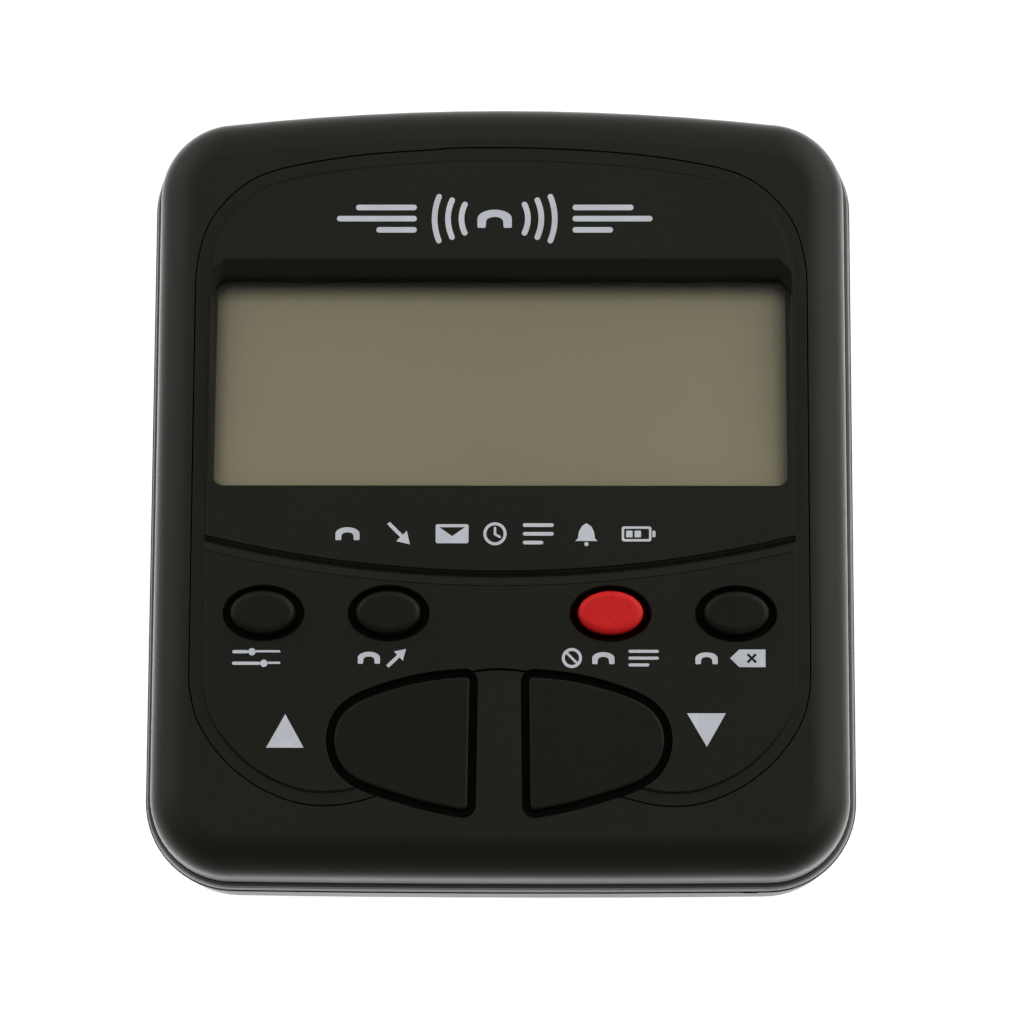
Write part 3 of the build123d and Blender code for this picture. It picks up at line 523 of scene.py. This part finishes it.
def arrow(start, tip, width, head):
    """Straight shaft with a triangular head of length head."""
    length = math.hypot(tip[0] - start[0], tip[1] - start[1])
    along_x, along_y = (tip[0] - start[0]) / length, (tip[1] - start[1]) / length
    neck = (tip[0] - along_x * head, tip[1] - along_y * head)
    half, barb = width / 2, head * 0.62

    def beside(point, offset):
        return (point[0] - along_y * offset, point[1] + along_x * offset)
    return [beside(start, half), beside(neck, half), beside(neck, barb), tip,
            beside(neck, -barb), beside(neck, -half), beside(start, -half)]


# underside of the handset, from its right ear round to the left
HANDSET_UNDERSIDE = [
    (1.5, -0.72), (1.42, -0.82), (0.86, -0.82), (0.78, -0.74), (0.74, -0.20),
    (0.60, 0.0), (0.35, 0.12), (0.0, 0.16), (-0.35, 0.12), (-0.60, 0.0),
    (-0.74, -0.20), (-0.78, -0.74), (-0.86, -0.82), (-1.42, -0.82), (-1.5, -0.72),
]


def handset(x, y, size=1.0):
    """Telephone handset, 3 wide at size 1, with a half-ellipse back."""
    angles = [math.radians(180 - 180 * i / 24) for i in range(25)]
    back = [(1.5 * math.cos(angle), 0.80 * math.sin(angle)) for angle in angles]
    shape = back + HANDSET_UNDERSIDE
    return placed([(point_x * size, point_y * size) for point_x, point_y in shape], x, y)


def mark(name, outlines, z):
    """Fill outlines (one inside another is a hole) as a thin film on the surface at z."""
    curve = bpy.data.curves.new(name, "CURVE")
    curve.dimensions = "2D"
    curve.fill_mode = "BOTH"
    curve.extrude = INK_THICKNESS / 2 * MM
    for outline in outlines:
        spline = curve.splines.new("POLY")
        spline.points.add(len(outline) - 1)
        for point, (x, y) in zip(spline.points, outline):
            point.co = (x * MM, y * MM, 0, 1)
        spline.use_cyclic_u = True
    flat = bpy.data.objects.new(name + "_curve", curve)
    scene.collection.objects.link(flat)
    flat.location.z = (z + INK_THICKNESS / 2 - INK_SINK) * MM
    bpy.context.view_layer.update()
    evaluated = flat.evaluated_get(bpy.context.evaluated_depsgraph_get())
    mesh = bpy.data.meshes.new_from_object(evaluated)
    mesh.transform(flat.matrix_world)
    bpy.data.objects.remove(flat)
    bm = bmesh.new()
    bm.from_mesh(mesh)
    bmesh.ops.remove_doubles(bm, verts=bm.verts, dist=1e-7)
    bmesh.ops.recalc_face_normals(bm, faces=bm.faces)
    bm.to_mesh(mesh)
    bm.free()
    mesh.name = name
    mesh.materials.clear()
    mesh.materials.append(ink)
    film = bpy.data.objects.new(name, mesh)
    scene.collection.objects.link(film)
    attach(film, "case")


def emblem(x, y, width=0.72):
    """A handset between signal arcs and rules."""
    shapes = [handset(x, y, size=1.45)]
    for side, facing in ((-1, 180), (1, 0)):
        for radius, spread in ((4.2, 26), (5.9, 24), (7.6, 22)):
            path = arc_points(x, y, radius, facing - spread, facing + spread)
            shapes.append(stroke(path, width))
        ends = [x + side * end for end in (17.2, 19.6, 14.6)]
        shapes += bars(x + side * 10.2, ends, y, pitch=1.45, width=width)
    return shapes


ENVELOPE_FLAP = [(-7.55, 0.82), (-5.95, -0.30), (-4.35, 0.82)]
CLOCK_HANDS = [(-0.6, 0.75), (-0.6, -0.05), (0.0, -0.4)]
BELL = [
    (9.4, -0.9), (9.75, -0.55), (9.85, 0.25), (10.2, 0.95), (10.8, 1.35),
    (11.4, 0.95), (11.75, 0.25), (11.85, -0.55), (12.2, -0.9),
]
# (left, right, half height, corner radius): case, its hollow, terminal, two charge blocks
BATTERY = [
    (15.2, 18.9, 0.95, 0.3), (15.5, 18.6, 0.65, 0.12), (19.02, 19.4, 0.42, 0.12),
    (15.75, 16.55, 0.42, 0.06), (16.8, 17.6, 0.42, 0.06),
]


def status_row(y):
    """Handset, arrow, envelope, clock, list, bell and battery."""
    return [
        handset(-19.0, y),
        arrow((-13.9, y + 1.35), (-11.2, y - 1.35), width=0.46, head=1.5),
        rounded_box(-8.0, -3.9, y, half_height=1.2, radius=0.25),
        placed(ENVELOPE_FLAP, 0, y),
        circle(-0.6, y, 1.45),
        circle(-0.6, y, 1.08),
        stroke(placed(CLOCK_HANDS, 0, y), 0.30),
        *bars(3.1, (6.5, 6.5, 5.2), y, pitch=1.1, width=0.46),
        placed(BELL, 0, y),
        circle(10.8, y - 1.28, 0.26, steps=16),
        *(rounded_box(left, right, y, half_height, radius)
          for left, right, half_height, radius in BATTERY),
    ]


def settings(y):
    """Two sliders, each a line broken by a round knob."""
    shapes = []
    gap, width = 0.65, 0.40     # knob centre to line end; line width
    for knob_x, slider_y in ((-30.75, y + 0.72), (-29.25, y - 0.72)):
        shapes += [line(-33.0, knob_x - gap, slider_y, width),
                   circle(knob_x, slider_y, 0.46, steps=24),
                   line(knob_x + gap, -27.4, slider_y, width)]
    return shapes


def dial_out(y):
    return [handset(-16.2, y, size=0.92),
            arrow((-13.9, y - 1.1), (-11.6, y + 1.1), width=0.44, head=1.3)]


def block(y):
    """A barred circle, a handset and a list."""
    return [circle(9.0, y, 1.25),
            *(arc_points(9.0, y, 0.88, start, start + 160) for start in (-35, 145)),
            handset(12.9, y, size=0.92),
            *bars(16.2, (19.6, 19.6, 18.4), y, pitch=0.85, width=0.38)]


DELETE_TAG = [(28.6, 0), (29.75, 1.1), (33.0, 1.1), (33.0, -1.1), (29.75, -1.1)]
# a diagonal cross about its own centre
CROSS = [
    (0.0, 0.22), (0.42, 0.64), (0.64, 0.42), (0.22, 0.0), (0.64, -0.42), (0.42, -0.64),
    (0.0, -0.22), (-0.42, -0.64), (-0.64, -0.42), (-0.22, 0.0), (-0.64, 0.42), (-0.42, 0.64),
]


def remove(y):
    """A handset and a pointed tag with a cross cut out."""
    return [handset(25.7, y, size=0.92), placed(DELETE_TAG, 0, y), placed(CROSS, 31.3, y)]


UP_TRIANGLE = [(-28.83, -33.15), (-24.18, -33.15), (-26.5, -28.98)]
DOWN_TRIANGLE = [(23.25, -28.78), (28.05, -28.78), (25.68, -32.95)]

mark("print_emblem", emblem(EMBLEM_X, EMBLEM_Y), UPPER_Z)
mark("print_status_row", status_row(STATUS_Y), UPPER_Z)
mark("print_settings", settings(KEY_ROW_Y), KEYS_Z)
mark("print_dial_out", dial_out(KEY_ROW_Y), KEYS_Z)
mark("print_block", block(KEY_ROW_Y), KEYS_Z)
mark("print_remove", remove(KEY_ROW_Y), KEYS_Z)
mark("print_up", [UP_TRIANGLE], KEYS_Z)
mark("print_down", [DOWN_TRIANGLE], KEYS_Z)

# ---------------------------------------------------------------------------
# floor: an even pale sheet to the camera, a shaped glow to everything else
# ---------------------------------------------------------------------------
# glow next to the object, 30 mm away, and 90 mm away and beyond
GLOW_WEST, GLOW_EAST = (3.1, 1.0, 0.78), (2.5, 1.10, 0.88)
GLOW_NORTH, GLOW_SOUTH = (2.0, 0.85, 0.60), (1.65, 0.42, 0.30)
CAMERA_GLOW = 0.93


def floor_pale():
    mat = Material("floor_pale")
    x, y, z = mat.position()
    mottle = mat.noise(scale=9, detail=2.0)
    away = mat.math("MAXIMUM", mat.math("SUBTRACT", mat.absolute(x), BODY_HALF_X),
                    mat.math("SUBTRACT", mat.absolute(y), BODY_HALF_Y))

    def fade(glow):
        near, middle, far = glow
        inner = mat.ramp(away, span=(0.002, 0.030), to=(near, middle))
        return mat.plus(inner, mat.ramp(away, span=(0.030, 0.090), to=(0.0, far - middle)))

    # share of x in the squared distance tells the flanks from the ends
    x_squared = mat.times(x, x)
    total = mat.plus(mat.plus(x_squared, mat.times(y, y)), 1e-6)
    share = mat.math("DIVIDE", x_squared, total)
    ends = mat.mix_float(mat.ramp(y, span=(-0.03, 0.03)), fade(GLOW_SOUTH), fade(GLOW_NORTH))
    flanks = mat.mix_float(mat.ramp(x, span=(-0.03, 0.03)), fade(GLOW_WEST), fade(GLOW_EAST))
    glow = mat.mix_float(mat.ramp(share, span=(0.30, 0.70)), ends, flanks)
    to_camera = mat.node("LightPath").outputs["Is Camera Ray"]
    light = mat.node("Emission", {
        "Strength": mat.mix_float(to_camera, glow, CAMERA_GLOW),
        "Color": mat.mix(mat.ramp(mottle), (1.0, 0.995, 0.985, 1), (0.99, 0.99, 0.985, 1))})
    matt = mat.node("BsdfDiffuse", {
        "Color": mat.mix(mat.ramp(mottle), (0.30, 0.30, 0.30, 1), (0.31, 0.31, 0.31, 1))})
    both = mat.node("AddShader", {0: light.outputs[0], 1: matt.outputs[0]}).outputs[0]
    # one-sided, so that a view from below shows the underside
    clear = mat.node("BsdfTransparent").outputs[0]
    return mat.finish(mat.mix_shader(mat.backfacing(), both, clear))


floor_material = floor_pale()
bpy.ops.mesh.primitive_plane_add(size=4.0, location=(0, 0, -0.0001))
floor = bpy.context.object
floor.name = "floor"
floor.data.materials.append(floor_material)

# ---------------------------------------------------------------------------
# world: (position, brightness) stops, position 0-1 along the view direction's -1 to 1
# ---------------------------------------------------------------------------
# overhead along Y: dark towards the keys' end, half lit towards the sockets' end
OVERHEAD = [
    (0.0, 0.38), (0.06, 0.27), (0.18, 0.20), (0.30, 0.11), (0.46, 0.07),
    (0.53, 0.15), (0.60, 0.47), (0.68, 0.64), (0.92, 0.54), (1.0, 0.70),
]
# along X: a large soft box on either side
SIDE_BOXES = [
    (0.0, 0.80), (0.05, 1.15), (0.14, 1.15), (0.24, 0.85), (0.36, 0.25), (0.47, 0.0),
    (0.50, 0.02), (0.55, 0.20), (0.66, 0.82), (0.78, 1.65), (0.90, 2.0), (0.97, 1.9), (1.0, 1.4),
]
# along Y: the side boxes end short of the keys' end
SIDE_REACH = [(0.0, 0.02), (0.22, 0.08), (0.34, 0.40), (0.46, 1.0), (1.0, 1.0)]


def brightness(studio, axis, stops):
    along = studio.plus(studio.times(axis, 0.5), 0.5)
    node = studio.node("ValToRGB", {0: along})
    node.color_ramp.interpolation = "EASE"
    elements = node.color_ramp.elements
    while len(elements) > 1:
        elements.remove(elements[0])
    elements[0].position = stops[0][0]
    elements[0].color = (stops[0][1],) * 3 + (1,)
    for position, value in stops[1:]:
        elements.new(position).color = (value,) * 3 + (1,)
    return node.outputs[0]


world = bpy.data.worlds.new("studio")
scene.world = world
studio = Nodes(world, "OutputWorld", "Generated")
x, y, z = studio.position()
overhead = brightness(studio, y, OVERHEAD)
side_boxes = brightness(studio, x, SIDE_BOXES)
side_boxes = studio.times(side_boxes, brightness(studio, y, SIDE_REACH))
sky = studio.mix(1.0, overhead, side_boxes, blend="ADD")
background = studio.node("Background", {"Color": sky, "Strength": 1.0})
studio.put(studio.out.inputs[0], background.outputs[0])

# ---------------------------------------------------------------------------
# camera: a long lens nearly overhead, leaning towards the keys' end
# ---------------------------------------------------------------------------
LEAN, SIDEWAYS, ROLL = math.radians(9.0), math.radians(0.8), math.radians(0.19)
CAMERA_PLACE = (0.00778594, -0.07392319, 0.46941644)

backward = Vector((math.sin(SIDEWAYS), -math.sin(LEAN), math.cos(LEAN))).normalized()
level_right = Vector((0, 1, 0)).cross(backward).normalized()
level_up = backward.cross(level_right).normalized()
right = level_right * math.cos(ROLL) + level_up * math.sin(ROLL)
up = -level_right * math.sin(ROLL) + level_up * math.cos(ROLL)

camera_data = bpy.data.cameras.new("camera")
camera_data.sensor_width = 36.0
camera_data.lens = 126.5625
camera = bpy.data.objects.new("camera", camera_data)
scene.collection.objects.link(camera)
camera.matrix_world = Matrix((*zip(right, up, backward, CAMERA_PLACE), (0, 0, 0, 1)))
scene.camera = camera

scene.view_settings.view_transform = "Standard"
scene.view_settings.look = "None"
scene.view_settings.exposure = 0.0
scene.view_settings.gamma = 1.0
